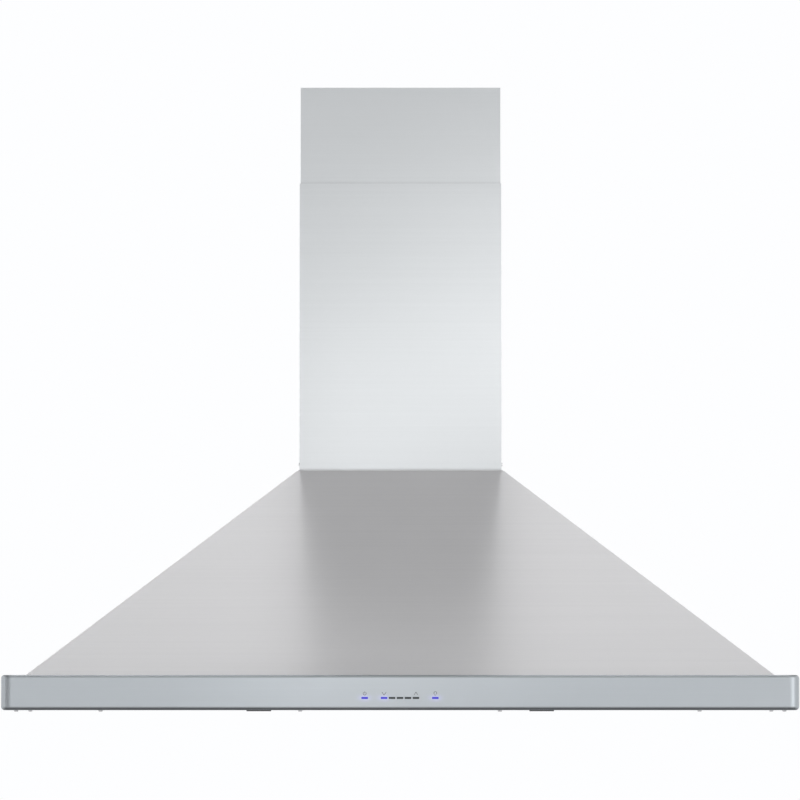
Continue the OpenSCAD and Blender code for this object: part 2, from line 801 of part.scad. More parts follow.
// One end bell: a turned cup with its bearing seat at z = 0 and a ring of air slots
module end_bell() {
    slot_r = motor_r * 0.1;
    difference() {
        rotate_extrude() polygon([
            [bush_r, 0], [motor_r * 0.42, 0], [motor_r * 0.42, bell_l * 0.2], [motor_r - 8, bell_l * 0.32],
            [motor_r - 1.5, bell_l * 0.58], [motor_r - 1.5, bell_l],
            [shaft_r + 1, bell_l], [shaft_r + 1, bush_l],
            [bush_r, bush_l]
        ]);
        for (a = [0:45:315]) rotate(a) translate([motor_r * 0.66, 0, -1])
            cylinder(r = slot_r, h = bell_l * 0.7);
    }
}

module motor_end_bells() color("gray") translate([0, wheel_y, wheel_z]) {
    translate([motor_x0, 0, 0]) rotate([0, 90, 0]) end_bell();
    translate([motor_x1, 0, 0]) rotate([0, -90, 0]) end_bell();
}

module motor_bearings() color("goldenrod") {
    for (x = [motor_x0, motor_x1 - bush_l]) translate([x, wheel_y, wheel_z]) rotate([0, 90, 0]) difference() {
        cylinder(r = bush_r, h = bush_l);
        translate([0, 0, -1]) cylinder(r = shaft_r + bearing_gap, h = bush_l + 2);
    }
}

// The motor's clamp ring with three arms that stand on the left side plate
module motor_bracket() color("silver") {
    ring_x = -scroll_x - bracket_out;
    band = 10;
    translate([0, wheel_y, wheel_z]) difference() {
        union() {
            translate([ring_x, 0, 0]) rotate([0, 90, 0]) cylinder(r = motor_r + 2.5, h = band);
            for (a = [30, 150, 270]) rotate([a, 0, 0]) {
                block([ring_x, -6, motor_r], [ring_x + 2.5, 6, bracket_r + 6]);
                block([ring_x, -6, bracket_r + 3.5], [-scroll_x, 6, bracket_r + 6]);
                block([-scroll_x - 2.5, -6, bracket_r - 6], [-scroll_x, 6, bracket_r + 6]);
            }
        }
        translate([ring_x - 1, 0, 0]) rotate([0, 90, 0]) cylinder(r = motor_r, h = band + 2);
    }
}

module motor_screws() color("gray") {
    translate([-scroll_x - 2.5, wheel_y, wheel_z])
        for (a = [30, 150, 270]) rotate([a, 0, 0]) translate([0, 0, bracket_r - 1.5]) rotate([0, -90, 0])
            cylinder(r = 2 * motor_screw_r, h = 1.2 * motor_screw_r);
}

module capacitor() color("whitesmoke") {
    translate([capacitor_x, capacitor_y, capacitor_z]) {
        cylinder(r = capacitor_r, h = capacitor_h);
        both_sides() translate([5, 0, capacitor_h]) cylinder(r = 1.5, h = terminal_h);
    }
}

module capacitor_clamp() color("silver") {
    band = 14;
    y = capacitor_y;
    z = capacitor_z + capacitor_h * 0.5;
    difference() {
        union() {
            translate([capacitor_x, y, z]) cylinder(r = capacitor_r + 1.2, h = band);
            block([capacitor_x - capacitor_r - 14, -back_t - 1.2, z],
                [capacitor_x + capacitor_r + 14, -back_t, z + band]);
            block([capacitor_x - 8, y, z], [capacitor_x + 8, -back_t, z + band]);
        }
        translate([capacitor_x, y, z - 1]) cylinder(r = capacitor_r, h = band + 2);
    }
}

// The frame of one filter, centred on X = 0
module filter_frame() {
    t = baffle_t;
    y_front = filter_y0 + front_rail;
    difference() {
        union() {
            difference() {
                block([-filter_w / 2, filter_y0, filter_z0], [filter_w / 2, filter_y1, filter_z1]);
                block([t - filter_w / 2, y_front, filter_z0 + t],
                    [filter_w / 2 - t, filter_y1 - t, filter_z1 - t]);
                block([t - filter_w / 2, filter_y0 + t, filter_z0 + t],
                    [filter_w / 2 - t, y_front - t, filter_z1 - t]);
                block([filter_lip - filter_w / 2, y_front + filter_lip / 2, filter_z0 - 1],
                    [filter_w / 2 - filter_lip, filter_y1 - filter_lip, filter_z1 + 1]);
            }
            for (x = [-filter_w * 0.3, filter_w * 0.3])
                block([x - 12, filter_y1 - eps, pan_top + tab_gap],
                    [x + 12, filter_y1 + filter_gap + 8, pan_top + tab_gap + t]);
        }
        block([-pull_w / 2 - fit_gap, filter_y0 + pull_back - 2 - fit_gap, filter_z0 - 1],
            [pull_w / 2 + fit_gap, filter_y0 + pull_back + latch_travel + fit_gap + 2, filter_z0 + t + 0.5]);
        block([-8 - fit_gap, filter_y0 - 1, filter_z0 + t],
            [8 + fit_gap, filter_y0 + t + 1, filter_z0 + t + 2 + 2 * fit_gap]);
    }
}

// The baffles of one filter: a lower row that opens upwards and an upper row over its gaps
module filter_baffles() {
    t = baffle_t;
    inner_w = filter_w - 2 * t;
    pitch = inner_w / baffle_n;
    w = pitch * 0.84;
    r = w * w / (8 * baffle_h) + baffle_h / 2;
    y0 = filter_y0 + front_rail + fit_gap;
    y1 = filter_y1 - t - fit_gap;
    module arch() {
        intersection() {
            difference() {
                translate([0, baffle_h - r]) circle(r, $fn = 96);
                translate([0, baffle_h - r]) circle(r - t, $fn = 96);
            }
            translate([-w / 2, 0]) square([w, baffle_h]);
        }
    }
    for (i = [0:baffle_n - 1])
        translate([(i + 0.5) * pitch - inner_w / 2, 0, filter_z0 + t + baffle_h + 0.1])
            along_y(y0, y1) mirror([0, 1]) arch();
    for (i = [1:baffle_n - 1])
        translate([i * pitch - inner_w / 2, 0, filter_z1 - t - baffle_h - 0.1])
            along_y(y0, y1) arch();
}

// The latch of one filter: a sliding plate with a nose in front and a pull that hangs below the rim
module filter_latch() {
    t = 2;
    z0 = filter_z0 + baffle_t + fit_gap;
    y_pull = filter_y0 + pull_back;
    block([-8, opening_y0 + fit_gap, z0], [8, filter_y0 + 10, z0 + t]);
    block([-pull_w / 2, filter_y0 + 4, z0], [pull_w / 2, y_pull + t / 2, z0 + t]);
    block([-pull_w / 2, y_pull - t / 2, rim_z0 - pull_drop], [pull_w / 2, y_pull + t / 2, z0 + t]);
    translate([0, y_pull - t, rim_z0 - pull_drop + t]) rotate([0, 90, 0])
        cylinder(r = t, h = pull_w, center = true);
}

module filter_left_frame() color("silver") translate([-filter_x, 0, 0]) filter_frame();

module filter_left_baffles() color("lightgray") translate([-filter_x, 0, 0]) filter_baffles();

module filter_left_latch() color("dimgray") translate([-filter_x, 0, 0]) filter_latch();

module filter_right_frame() color("silver") translate([filter_x, 0, 0]) filter_frame();

module filter_right_baffles() color("lightgray") translate([filter_x, 0, 0]) filter_baffles();

module filter_right_latch() color("dimgray") translate([filter_x, 0, 0]) filter_latch();

module lamp_bezels() color("silver") {
    lamp_places() rotate_extrude() polygon([
        [lens_r, -1.6], [lamp_r + 4, -1.6], [lamp_r + 5, 0], [lamp_r, 0],
        [lamp_r, bezel_h], [lamp_r - 1.2, bezel_h], [lamp_r - 1.2, 0.6], [lens_r, 0.6]
    ]);
}

module lamp_lenses() color("white") {
    lamp_places() translate([0, 0, 0.6]) cylinder(r = lamp_r - 1.4, h = 2);
}

module lamp_housings() color("dimgray") {
    lamp_places() difference() {
        translate([0, 0, 2.9]) cylinder(r = lamp_r - 1.5, h = lamp_body_h);
        for (k = [-3:3]) translate([k * lamp_r / 4 - 1.5, -lamp_r, lamp_body_h * 0.55])
            cube([3, 2 * lamp_r, lamp_body_h]);
    }
}

module control_housing() color("darkslategray") {
    wall = 1.8;
    difference() {
        block([-control_w / 2, face_y, control_z0], [control_w / 2, face_y + control_d, control_z1]);
        block([wall - control_w / 2, face_y - 1, control_z0 + wall],
            [control_w / 2 - wall, face_y + control_d - wall, control_z1 - wall]);
    }
    both_sides() block([control_w / 2 - wall - 5, board_y + 1.6, control_z0 + wall],
        [control_w / 2 - wall, face_y + control_d - wall, control_z1 - wall]);
}

module control_board() color("seagreen") {
    block([2.1 - control_w / 2, board_y, control_z0 + 2.1],
        [control_w / 2 - 2.1, board_y + 1.6, control_z1 - 2.1]);
    for (x = [-30, 0, 34]) block([x - 6, board_y + 1.6, symbol_z - 4], [x + 6, board_y + 4, symbol_z + 6]);
}

module touch_pads() color("gray") {
    for (x = [-end_bar_x, -2 * bar_pitch, 2 * bar_pitch, end_bar_x])
        translate([x, face_y + fit_gap, symbol_z]) rotate([-90, 0, 0])
            cylinder(r = 5, h = board_y - face_y - fit_gap);
}

module light_guide(x) {
    block([x - bar_w / 2 + 0.1, -rim_d, bar_z - bar_h / 2 + 0.1],
        [x + bar_w / 2 - 0.1, board_y, bar_z + bar_h / 2 - 0.1]);
}

module lit_light_guides() color("slateblue") {
    for (x = [-end_bar_x, -bar_pitch * (speed_bars - 1) / 2, end_bar_x]) light_guide(x);
}

module dark_light_guides() color("black") {
    for (i = [1:speed_bars - 1]) light_guide((i - (speed_bars - 1) / 2) * bar_pitch);
}

// Two screws on the wiring box's right and left walls, along X with the head outwards
module wiring_screw_places() {
    translate([box_x1 + box_t, box_y0 + 4.5, (box_z0 + box_z1) / 2]) rotate([0, 90, 0]) children();
    translate([box_x0 - box_t, box_y0 + 4.5, (box_z0 + box_z1) / 2]) rotate([0, -90, 0]) children();
}

module wiring_box() color("silver") {
    difference() {
        block([box_x0, box_y0, box_z0], [box_x1, -back_t, box_z1]);
        block([box_x0 + box_t, box_y0 - 1, box_z0 + box_t], [box_x1 - box_t, -back_t - box_t, box_z1 - box_t]);
        translate([cable_x, cable_y, box_z1 - box_t - 1]) cylinder(r = cable_r, h = box_t + 2);
        wiring_screw_places() translate([0, 0, -2 * box_t - 1])
            cylinder(r = wiring_screw_r + screw_gap, h = 2 * box_t + 2);
    }
}

module wiring_box_cover() color("lightgray") {
    difference() {
        block([box_x0 - box_t, box_y0 - box_t, box_z0 - box_t], [box_x1 + box_t, box_y0 + 9, box_z1 + box_t]);
        block([box_x0, box_y0, box_z0], [box_x1, 0, box_z1]);
        wiring_screw_places() translate([0, 0, -2 * box_t - 1])
            cylinder(r = wiring_screw_r + screw_gap, h = 2 * box_t + 2);
    }
}

module wiring_screws() color("gray") {
    wiring_screw_places() screw(wiring_screw_r, 5);
}

module terminal_block() color("ivory") {
    y1 = -back_t - box_t;
    difference() {
        block([cable_x - 26, y1 - 18, box_z0 + 18], [cable_x + 14, y1, box_z0 + 36]);
        for (i = [0:2]) translate([cable_x - 19 + i * 13, y1 - 19, box_z0 + 27])
            rotate([-90, 0, 0]) cylinder(r = 3, h = 12);
    }
}

module lamp_driver() color("white") {
    y1 = -back_t - box_t;
    x0 = cable_x + driver_shift;
    block([x0, y1 - driver_d, box_z0 + driver_lift], [x0 + driver_w, y1, box_z0 + driver_lift + driver_h]);
}

// The way that the flat leads take over the liner pan: along X behind the lamps, back beside the
// right filter, to the box's side along the pan, and up the back panel
module lead_run(x_start, x_end, x_up, floor) {
    top = floor + lead_t;
    block([x_start, lead_y - lead_w, floor], [x_end, lead_y, top]);
    block([lead_x - lead_w, lead_y - lead_w, floor], [lead_x, lead_back, top]);
    block([x_up, lead_back - lead_w, floor], [lead_x, lead_back, top]);
}

// The lamps' lead, with a tail to each lamp that crosses over the controls' lead
module lamp_lead() color("white") {
    x_up = cable_x + 30;
    first = -(lamp_n - 1) / 2 * lamp_pitch;
    tail = 2;
    tail_y = lead_y + fit_gap;
    tail_z = pan_top + 2 * lead_t + 0.1 + fit_gap;
    lead_run(first - tail, max(lead_x, tail - first), x_up, pan_top);
    block([x_up, lead_back - lead_w, pan_top], [x_up + lead_w, -back_t, pan_top + lead_t]);
    block([x_up, -back_t - lead_t, pan_top], [x_up + lead_w, -back_t, box_z0 - fit_gap]);
    for (i = [0:lamp_n - 1]) translate([first + i * lamp_pitch, 0, 0]) {
        block([-tail, lamp_y + lamp_r - 1.5 + fit_gap, tail_z], [tail, tail_y + tail, tail_z + tail]);
        block([-tail, tail_y, pan_top], [tail, tail_y + tail, tail_z + tail]);
        block([-tail, lead_y - tail, pan_top], [tail, tail_y + tail, pan_top + lead_t]);
    }
}

// The controls' lead, on top of the lamps' lead
module control_lead() color("dimgray") {
    floor = pan_top + lead_t + 0.1;
    x_start = control_w / 2 - 16;
    x_up = cable_x + 10;
    y_up = -back_t - lead_t;
    lead_run(x_start, lead_x, x_up, floor);
    block([x_start, face_y + control_d + fit_gap, floor], [x_start + lead_w, lead_y, floor + lead_t]);
    block([x_up, lead_back - lead_w, floor], [x_up + lead_w, -back_t, floor + lead_t]);
    block([x_up, y_up, floor], [x_up + lead_w, -back_t, box_z0 - fit_gap]);
}

// The motor's lead: from its left end bell back and up, joined by the capacitor's, and along the back panel
module motor_lead() color("dimgray") {
    x = motor_x0 + bell_l * 0.75;
    y_up = -back_t - 2 * lead_w;
    z_run = box_z0 + 20;
    z_cap = capacitor_z + capacitor_h + terminal_h + fit_gap;
    z_low = wheel_z - lead_w / 2;
    block([x, wheel_y + motor_r - 1.5 + fit_gap, z_low], [x + lead_t, y_up, z_low + lead_w]);
    block([x, y_up - lead_w, z_low], [x + lead_t, y_up, z_run + lead_w]);
    block([x, y_up - lead_w, z_run], [x + lead_t, -back_t, z_run + lead_w]);
    block([capacitor_x - 7, capacitor_y - lead_w / 2, z_cap],
        [capacitor_x + 7, capacitor_y + lead_w / 2, z_cap + lead_t]);
    block([capacitor_x - lead_w / 2, capacitor_y, z_cap],
        [capacitor_x + lead_w / 2, -back_t, z_cap + lead_t]);
    block([capacitor_x - lead_w / 2, -back_t - lead_t, z_cap],
        [capacitor_x + lead_w / 2, -back_t, z_run + lead_w]);
    block([capacitor_x - lead_w / 2, -back_t - lead_t, z_run], [box_x0 - fit_gap, -back_t, z_run + lead_w]);
}

module cable_bushing() color("dimgray") {
    translate([cable_x, cable_y, outlet_z1]) difference() {
        union() {
            translate([0, 0, -3]) cylinder(r = cable_r + 1.9, h = plate_t + 3);
            translate([0, 0, -3]) cylinder(r = cable_r + 5, h = 3);
            translate([0, 0, plate_t]) cylinder(r = cable_r + 5, h = 3);
        }
        translate([0, 0, -4]) cylinder(r = cable_r, h = plate_t + 8);
    }
}

module cover_screws() color("gray") {
    cover_screw_places() screw(cover_screw_r, 8);
}

module bracket_screws() color("gray") {
    bracket_screw_places() screw(cover_screw_r, 6);
}

module collar_screws() color("gray") {
    collar_screw_places() translate([0, 0, canopy_z1 + collar_t]) screw(collar_screw_r, 8);
}

module liner_screws() color("gray") {
    liner_screw_places() translate([0, 0, rim_z0]) mirror([0, 0, 1]) screw(liner_screw_r, 8);
}

canopy_shell();
rim_band();
back_panel();
top_plate();
liner_pan();
filter_divider();
lower_duct_cover();
upper_duct_cover();
cover_frame();
ceiling_bracket();
duct_collar();
collar_flange();
damper_axle();
damper_flap_front();
damper_flap_rear();
blower_wrapper();
blower_side_left();
blower_side_right();
blower_bracket();
impeller();
impeller_hub();
motor_shaft();
motor_body();
motor_end_bells();
motor_bearings();
motor_bracket();
capacitor();
capacitor_clamp();
filter_left_frame();
filter_left_baffles();
filter_left_latch();
filter_right_frame();
filter_right_baffles();
filter_right_latch();
lamp_bezels();
lamp_lenses();
lamp_housings();
control_housing();
control_board();
touch_pads();
lit_light_guides();
dark_light_guides();
wiring_box();
wiring_box_cover();
terminal_block();
lamp_driver();
cable_bushing();
lamp_lead();
control_lead();
motor_lead();
cover_screws();
bracket_screws();
collar_screws();
liner_screws();
motor_screws();
blower_screws();
wiring_screws();
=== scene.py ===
# Looks of the wall mount range hood: finishes, key symbols, studio and camera.
import json
from math import atan2, cos, pi, radians

import bpy
import numpy as np
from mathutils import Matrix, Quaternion, Vector


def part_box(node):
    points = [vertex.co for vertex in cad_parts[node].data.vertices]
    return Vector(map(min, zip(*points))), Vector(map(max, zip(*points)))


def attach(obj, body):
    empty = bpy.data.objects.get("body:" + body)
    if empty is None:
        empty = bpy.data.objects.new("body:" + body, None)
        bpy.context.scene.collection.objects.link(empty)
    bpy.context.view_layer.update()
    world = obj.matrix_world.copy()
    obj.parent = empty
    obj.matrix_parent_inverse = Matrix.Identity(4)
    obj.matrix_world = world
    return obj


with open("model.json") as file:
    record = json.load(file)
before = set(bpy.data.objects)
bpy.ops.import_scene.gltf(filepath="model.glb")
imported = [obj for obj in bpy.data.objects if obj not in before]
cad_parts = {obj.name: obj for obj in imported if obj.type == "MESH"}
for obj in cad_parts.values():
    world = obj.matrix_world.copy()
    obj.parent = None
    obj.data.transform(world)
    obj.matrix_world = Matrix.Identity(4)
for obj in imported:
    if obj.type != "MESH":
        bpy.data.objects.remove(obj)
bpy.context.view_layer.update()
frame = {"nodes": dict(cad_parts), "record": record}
nodes = frame["nodes"]
print("frame loaded:", len(nodes), "nodes")

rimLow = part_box("rim_band")[0]
rimFace = rimLow[1]  # the rim's front face
rimBottom = rimLow[2]


# Camera, as the photograph was taken: straight in front, level with the rim's bottom edge
cameraValues = {
    "distance": 8.0,        # from the rim's face
    "sideways": 0.021,
    "frame": 1.216,         # metres across the picture at the rim's face
    "lookUp": 3.379,        # degrees
    "sensor": 36.0,         # millimetres
    "farthest": 60.0,       # metres that the camera sees
}


def placeCamera(v):
    data = bpy.data.cameras.new("camera")
    data.sensor_width = v["sensor"]
    data.lens = v["sensor"] * v["distance"] * cos(radians(v["lookUp"])) / v["frame"]
    data.clip_end = v["farthest"]
    camera = bpy.data.objects.new("camera", data)
    camera.location = (v["sideways"], rimFace - v["distance"], rimBottom)
    camera.rotation_euler = (pi / 2 + radians(v["lookUp"]), 0, atan2(v["sideways"], v["distance"]))
    bpy.context.collection.objects.link(camera)
    bpy.context.scene.camera = camera
    bpy.context.scene.view_settings.view_transform = "Standard"


placeCamera(cameraValues)


# A shader tree whose nodes are added and joined in one step, so that a finish reads as a recipe
class Tree:
    def __init__(self, tree):
        self.tree = tree

    def node(self, kind, **settings):
        made = self.tree.nodes.new(kind)
        for name, value in settings.items():
            setattr(made, name, value)
        return made

    def put(self, value, socket):
        if isinstance(value, bpy.types.NodeSocket):
            self.tree.links.new(value, socket)
        else:
            socket.default_value = value

    def math(self, operation, a, b=0.0, c=0.0, clamp=False):
        made = self.node("ShaderNodeMath", operation=operation, use_clamp=clamp)
        for value, socket in zip((a, b, c), made.inputs):
            self.put(value, socket)
        return made.outputs[0]

    def vector(self, operation, a, b=(0.0, 0.0, 0.0)):
        made = self.node("ShaderNodeVectorMath", operation=operation)
        self.put(a, made.inputs[0])
        self.put(b, made.inputs[1])
        return made.outputs["Value"]

    # Carries fromLow..fromHigh over to toLow..toHigh, and stays there beyond
    def range(self, value, fromLow, fromHigh, toLow=0.0, toHigh=1.0, smooth=False):
        made = self.node("ShaderNodeMapRange", clamp=True)
        made.interpolation_type = "SMOOTHSTEP" if smooth else "LINEAR"
        for value, socket in zip((value, fromLow, fromHigh, toLow, toHigh), made.inputs):
            self.put(value, socket)
        return made.outputs["Result"]

    def noise(self, vector, scale, detail=2.0, roughness=0.5):
        made = self.node("ShaderNodeTexNoise")
        for name, value in (("Vector", vector), ("Scale", scale), ("Detail", detail), ("Roughness", roughness)):
            self.put(value, made.inputs[name])
        return made.outputs["Fac"]

    def mixColour(self, factor, a, b):
        made = self.node("ShaderNodeMix", data_type="RGBA")
        self.put(factor, made.inputs["Factor"])
        self.put(a, made.inputs[6])
        self.put(b, made.inputs[7])
        return made.outputs[2]

    def xyz(self, vector):
        made = self.node("ShaderNodeSeparateXYZ")
        self.put(vector, made.inputs[0])
        return made.outputs[0], made.outputs[1], made.outputs[2]

    def combine(self, x, y, z):
        made = self.node("ShaderNodeCombineXYZ")
        for value, socket in zip((x, y, z), made.inputs):
            self.put(value, socket)
        return made.outputs[0]

    def place(self):
        return self.node("ShaderNodeTexCoord").outputs["Object"]

    def group(self, group, **values):
        made = self.node("ShaderNodeGroup")
        made.node_tree = group
        for name, value in values.items():
            self.put(value, made.inputs[name])
        return made.outputs


def newGroup(name, inputs, outputs):
    group = bpy.data.node_groups.new(name, "ShaderNodeTree")
    for label, default in inputs:
        made = group.interface.new_socket(label, in_out="INPUT", socket_type="NodeSocketFloat")
        made.default_value = default
    for label in outputs:
        group.interface.new_socket(label, in_out="OUTPUT", socket_type="NodeSocketFloat")
    tree = Tree(group)
    return group, tree, tree.node("NodeGroupInput").outputs, tree.node("NodeGroupOutput").inputs


# Brushed grain: long streaks that run level on every upright or sloped face.
# On a face that looks sideways they run along Y, on the others along X
grainValues = {
    "sideways": 0.55,                  # how far a normal leans to X before the streaks turn
    "toneNoise": (1.0, 2.0, 0.55),     # scale, detail and roughness of the broad streaks
    "fineNoise": (7.0, 3.0, 0.7),      # and of the fine ones
}


def makeGrain(v):
    group, t, given, out = newGroup(
        "sheetGrain", [("Along", 2.0), ("Across", 400.0), ("Turn", 0.0)], ["Tone", "Fine"])
    coords = t.node("ShaderNodeTexCoord").outputs
    x, y, z = t.xyz(coords["Object"])
    nx, _, _ = t.xyz(coords["Normal"])
    lean = t.math("ADD", t.math("ABSOLUTE", nx), given["Turn"])
    sideways = t.math("GREATER_THAN", lean, v["sideways"])
    difference = t.math("SUBTRACT", given["Across"], given["Along"])
    xRate = t.math("MULTIPLY_ADD", sideways, difference, given["Along"])
    yRate = t.math("SUBTRACT", given["Across"], t.math("MULTIPLY", sideways, difference))
    stretched = t.combine(t.math("MULTIPLY", x, xRate), t.math("MULTIPLY", y, yRate),
                          t.math("MULTIPLY", z, given["Across"]))
    t.put(t.noise(stretched, *v["toneNoise"]), out["Tone"])
    t.put(t.noise(stretched, *v["fineNoise"]), out["Fine"])
    return group


# Worn edges, which on the canopy steel also carry a painted highlight: where the rounded normal leaves the
# face's own normal, broken up by noise
edgeWearAndHighlightValues = {
    "lean": (0.98, 0.80),         # dot product of the two normals where wear starts and is full
    "breaks": (0.3, 0.6),         # the noise that thins it out
    "thinnest": 0.25,
}


def makeEdgeWearAndHighlight(v):
    group, t, given, out = newGroup("edgeWearAndHighlight", [("Width", 0.0012), ("Breaks", 90.0)], ["Edge"])
    bevel = t.node("ShaderNodeBevel", samples=4)
    t.put(given["Width"], bevel.inputs["Radius"])
    own = t.node("ShaderNodeNewGeometry").outputs["Normal"]
    edge = t.range(t.vector("DOT_PRODUCT", bevel.outputs[0], own), *v["lean"])
    broken = t.node("ShaderNodeTexNoise")
    t.put(t.place(), broken.inputs["Vector"])
    t.put(given["Breaks"], broken.inputs["Scale"])
    t.put(t.math("MULTIPLY", edge, t.range(broken.outputs["Fac"], *v["breaks"], v["thinnest"])), out["Edge"])
    return group


# Handling marks: broad soft patches and a few smaller ones
smudgeValues = {
    "broadNoise": (1.0, 3.0, 0.6),
    "smallNoise": (6.0, 2.0, 0.5),
    "smallShare": 0.35,
}


def makeSmudge(v):
    group, t, given, out = newGroup("smudge", [("Scale", 5.0)], ["Patch"])
    scaled = t.node("ShaderNodeVectorMath", operation="SCALE")
    t.put(t.place(), scaled.inputs[0])
    t.put(given["Scale"], scaled.inputs["Scale"])
    broad = t.noise(scaled.outputs[0], *v["broadNoise"])
    small = t.math("SUBTRACT", t.noise(scaled.outputs[0], *v["smallNoise"]), 0.5)
    t.put(t.math("MULTIPLY_ADD", small, v["smallShare"], broad), out["Patch"])
    return group


# Zinc spangle: flat crystals, each with its own tone
def makeSpangle():
    group, t, given, out = newGroup("spangle", [("Scale", 120.0)], ["Tone"])
    cells = t.node("ShaderNodeTexVoronoi", feature="F1")
    t.put(t.place(), cells.inputs["Vector"])
    t.put(given["Scale"], cells.inputs["Scale"])
    t.put(t.xyz(cells.outputs["Color"])[0], out["Tone"])
    return group


# Moulded or cast skin: fine grains for plastic, rubber and castings
def makePores():
    group, t, given, out = newGroup("pores", [("Scale", 900.0)], ["Height"])
    t.put(t.noise(t.place(), given["Scale"], 3.0), out["Height"])
    return group


grain, edgeWearAndHighlight, smudge = makeGrain(grainValues), makeEdgeWearAndHighlight(edgeWearAndHighlightValues), makeSmudge(smudgeValues)
spangle, pores = makeSpangle(), makePores()


def shade(colour, factor):
    return tuple(min(1.0, c * factor) for c in colour[:3]) + (1.0,)


def newFinish(name, colour, roughness, metallic=0.0):
    material = bpy.data.materials.new(name)
    material.use_nodes = True
    t = Tree(material.node_tree)
    shader = material.node_tree.nodes["Principled BSDF"]
    shader.inputs["Base Color"].default_value = shade(colour, 1.0)
    shader.inputs["Roughness"].default_value = roughness
    shader.inputs["Metallic"].default_value = metallic
    material.diffuse_color = shade(colour, 1.0)
    return material, t, shader


def addBump(t, shader, height, strength, distance=0.0001):
    bump = t.node("ShaderNodeBump")
    bump.inputs["Strength"].default_value = strength
    bump.inputs["Distance"].default_value = distance
    t.put(height, bump.inputs["Height"])
    t.put(bump.outputs["Normal"], shader.inputs["Normal"])


# Brushed sheet steel. The grain is drawn level, so a reflection spreads up and down:
# the tangent stands across the grain, and the dark band below the duct cover is its reflection
steelValues = {
    "tones": (0.8, 1.2),            # the colour's darkest and palest streaks
    "grainRange": (0.3, 0.7),       # the part of the noise that the streaks use
    "markScale": 4.0,
    "edgeWidth": 0.0014,
    "edgeShare": 0.5,
    "edgeTone": 1.25,
    "paintedShadeReach": 0.004,            # metres into a joint that its painted shadow starts
    "paintedShadeRange": (0.95, 0.45),
    "paintedShadeShare": 0.35,
    "paintedShadeTone": 0.35,
    "fineRoughness": 0.03,
    "markRoughness": 0.06,
    "acrossGrain": (0.0, 0.05, 1.0),
    "bump": 0.12,
    "bumpDepth": 0.00004,
}
steels = {
    # The canopy's edgeTone is a painted highlight along its edges, over the wear
    "canopy_steel": {"colour": (0.665, 0.66, 0.665), "roughness": 0.46, "along": 1.6, "across": 260.0,
                     "streak": 0.03, "fine": 0.035, "cloud": 0.10, "spread": 0.93, "edgeTone": 1.9},
    "duct_steel": {"colour": (0.75, 0.77, 0.78), "roughness": 0.44, "along": 1.2, "across": 260.0,
                   "streak": 0.02, "fine": 0.03, "cloud": 0.08, "spread": 0.9},
    "rim_steel": {"colour": (0.63, 0.67, 0.70), "roughness": 0.42, "along": 1.6, "across": 420.0,
                  "streak": 0.02, "fine": 0.04, "cloud": 0.06, "spread": 0.8,
                  # Painted shade on the bends and the ledge: darker steel, not a finish of its own. A bend's
                  # shade fades in from the rim's face as its normal leans, and out again to what it keeps on
                  # the face that it leads to
                  "paintedShadeBends": [
                      {"towards": "up", "fadeIn": (-0.05, -0.45), "fadeOut": (-0.99, -0.93),
                       "keeps": 0.0, "tone": 0.26},         # bottom
                      {"towards": "up", "fadeIn": (0.10, 0.80), "fadeOut": (0.999, 0.99),
                       "keeps": 0.65, "tone": 0.36},         # top, with the ledge
                      {"towards": "side", "fadeIn": (0.45, 0.75), "fadeOut": (0.995, 0.96),
                       "keeps": 0.0, "tone": 0.75},         # corners
                  ]},
    "baffle_steel": {"colour": (0.62, 0.62, 0.63), "roughness": 0.30, "along": 3.0, "across": 500.0,
                     "streak": 0.05, "fine": 0.06, "cloud": 0.1, "spread": 0.7, "turn": 1.0,
                     "acrossGrain": (1.0, 0.0, 0.05)},
}


